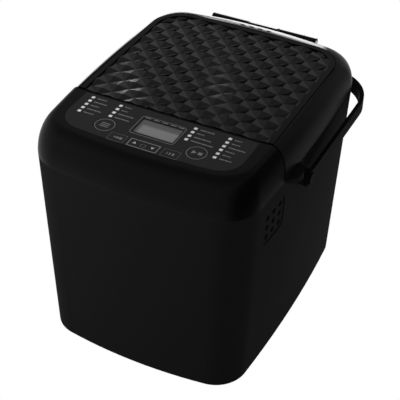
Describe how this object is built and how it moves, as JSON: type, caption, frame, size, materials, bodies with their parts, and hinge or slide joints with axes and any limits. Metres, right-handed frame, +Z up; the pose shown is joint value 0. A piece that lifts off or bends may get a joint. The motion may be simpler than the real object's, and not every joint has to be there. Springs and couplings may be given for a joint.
{
  "type": "bread machine",
  "caption": "Upright bread machine with a tapered bowed housing, diamond-relief hinged lid, front control panel, rear wrap-round carry handle and lift-out pan with paddle.",
  "frame": {"origin": "on the floor under the centre of the bounding box", "axes": "+X to the right seen from the front, +Y to the rear, +Z up"},
  "size_m": [0.2612, 0.3218, 0.2574],
  "materials": {
    "housing_plastic": "satin, fine texture",
    "head_plastic": "smooth semi-gloss",
    "lid_plastic": "satin",
    "panel_gloss": "polished facets",
    "overlay_film": "matte film",
    "key_film": "matte film",
    "display_glass": "matte",
    "handle_plastic": "satin",
    "pin_plastic": "satin",
    "rubber": "matte",
    "belt_rubber": "matte, ribbed",
    "steel": "brushed",
    "screw_steel": "plated",
    "chamber_steel": "plated sheet",
    "heater_steel": "dark oxide",
    "pan_coating": "dark non-stick",
    "aluminium": "cast",
    "bronze": "sintered",
    "board": "solder mask",
    "inner_plastic": "moulded",
    "pulley_plastic": "moulded",
    "motor_steel": "laminated"
  },
  "bodies": {
    "housing": {"body_shell": "housing_plastic", "base_plate": "inner_plastic", "rubber_feet": "rubber", "base_screws": "screw_steel", "deck_screws": "screw_steel", "chassis_screws": "screw_steel", "chassis_plate": "steel", "drive_bearing": "aluminium", "drive_belt": "belt_rubber", "motor_frame": "motor_steel", "motor_capacitor": "inner_plastic", "power_board": "board", "cord_bushing": "rubber", "oven_chamber": "chamber_steel", "top_deck": "inner_plastic", "heater_element": "heater_steel", "heater_clips": "steel", "temperature_probe": "steel", "pan_clips": "steel", "control_head": "head_plastic", "control_overlay": "overlay_film", "lcd_module": "display_glass", "control_board": "board", "key_switches": "inner_plastic", "board_screws": "screw_steel", "hinge_brackets": "lid_plastic", "hinge_pin": "steel", "handle_pivot_pins": "pin_plastic"},
    "lid": {"lid_frame": "lid_plastic", "lid_panel": "panel_gloss", "lid_liner": "chamber_steel", "lid_screws": "screw_steel"},
    "carry_handle": {"carry_handle": "handle_plastic"},
    "drive": {"drive_pulley": "pulley_plastic", "drive_shaft": "steel", "drive_dog": "aluminium"},
    "rotor": {"motor_shaft": "steel", "motor_pulley": "pulley_plastic"},
    "pan": {"bread_pan": "pan_coating", "pan_collar": "aluminium", "pan_bush": "bronze", "pan_ears": "pan_coating"},
    "pan_handle": {"pan_handle": "steel"},
    "kneader": {"pan_shaft": "steel", "pan_coupling": "aluminium", "kneading_paddle": "pan_coating"},
    "menu_key": {"menu_key": "key_film"},
    "start_key": {"start_key": "key_film"},
    "size_key": {"size_key": "key_film"},
    "crust_key": {"crust_key": "key_film"},
    "up_key": {"up_key": "key_film"},
    "down_key": {"down_key": "key_film"}
  },
  "joints": [
    {"name": "lid_hinge", "type": "hinge", "parent": "housing", "child": "lid", "pos_m": [0, 0.14085, 0.2445], "axis": [-1, 0, 0], "range_deg": [0, 95]},
    {"name": "handle_swing", "type": "hinge", "parent": "housing", "child": "carry_handle", "pos_m": [0, -0.02915, 0.2005], "axis": [1, 0, 0], "range_deg": [0, 95]},
    {"name": "drive_spin", "type": "hinge", "parent": "housing", "child": "drive", "pos_m": [0, 0.02785, 0.03], "axis": [0, 0, 1], "continuous": true},
    {"name": "motor_spin", "type": "hinge", "parent": "housing", "child": "rotor", "pos_m": [0, -0.10515, 0.03], "axis": [0, 0, 1], "continuous": true},
    {"name": "pan_lift", "type": "slide", "parent": "housing", "child": "pan", "axis": [0, 0, 1], "range_m": [0, 0.008]},
    {"name": "pan_bail", "type": "hinge", "parent": "pan", "child": "pan_handle", "pos_m": [0, 0.02785, 0.171], "axis": [1, 0, 0], "range_deg": [0, 73]},
    {"name": "paddle_spin", "type": "hinge", "parent": "pan", "child": "kneader", "pos_m": [0, 0.02785, 0.07], "axis": [0, 0, 1], "continuous": true},
    {"name": "menu_press", "type": "slide", "parent": "housing", "child": "menu_key", "axis": [0, 0, -1], "range_m": [0, 0.0005], "stiffness_N_per_m": 400, "springref_m": -0.0002},
    {"name": "start_press", "type": "slide", "parent": "housing", "child": "start_key", "axis": [0, 0, -1], "range_m": [0, 0.0005], "stiffness_N_per_m": 400, "springref_m": -0.0002},
    {"name": "size_press", "type": "slide", "parent": "housing", "child": "size_key", "axis": [0, 0, -1], "range_m": [0, 0.0005], "stiffness_N_per_m": 400, "springref_m": -0.0002},
    {"name": "crust_press", "type": "slide", "parent": "housing", "child": "crust_key", "axis": [0, 0, -1], "range_m": [0, 0.0005], "stiffness_N_per_m": 400, "springref_m": -0.0002},
    {"name": "up_press", "type": "slide", "parent": "housing", "child": "up_key", "axis": [0, 0, -1], "range_m": [0, 0.0005], "stiffness_N_per_m": 400, "springref_m": -0.0002},
    {"name": "down_press", "type": "slide", "parent": "housing", "child": "down_key", "axis": [0, 0, -1], "range_m": [0, 0.0005], "stiffness_N_per_m": 400, "springref_m": -0.0002}
  ],
  "couplings": [
    {"joint": "motor_spin", "follows": "drive_spin", "ratio": 5},
    {"joint": "paddle_spin", "follows": "drive_spin", "ratio": 1}
  ]
}
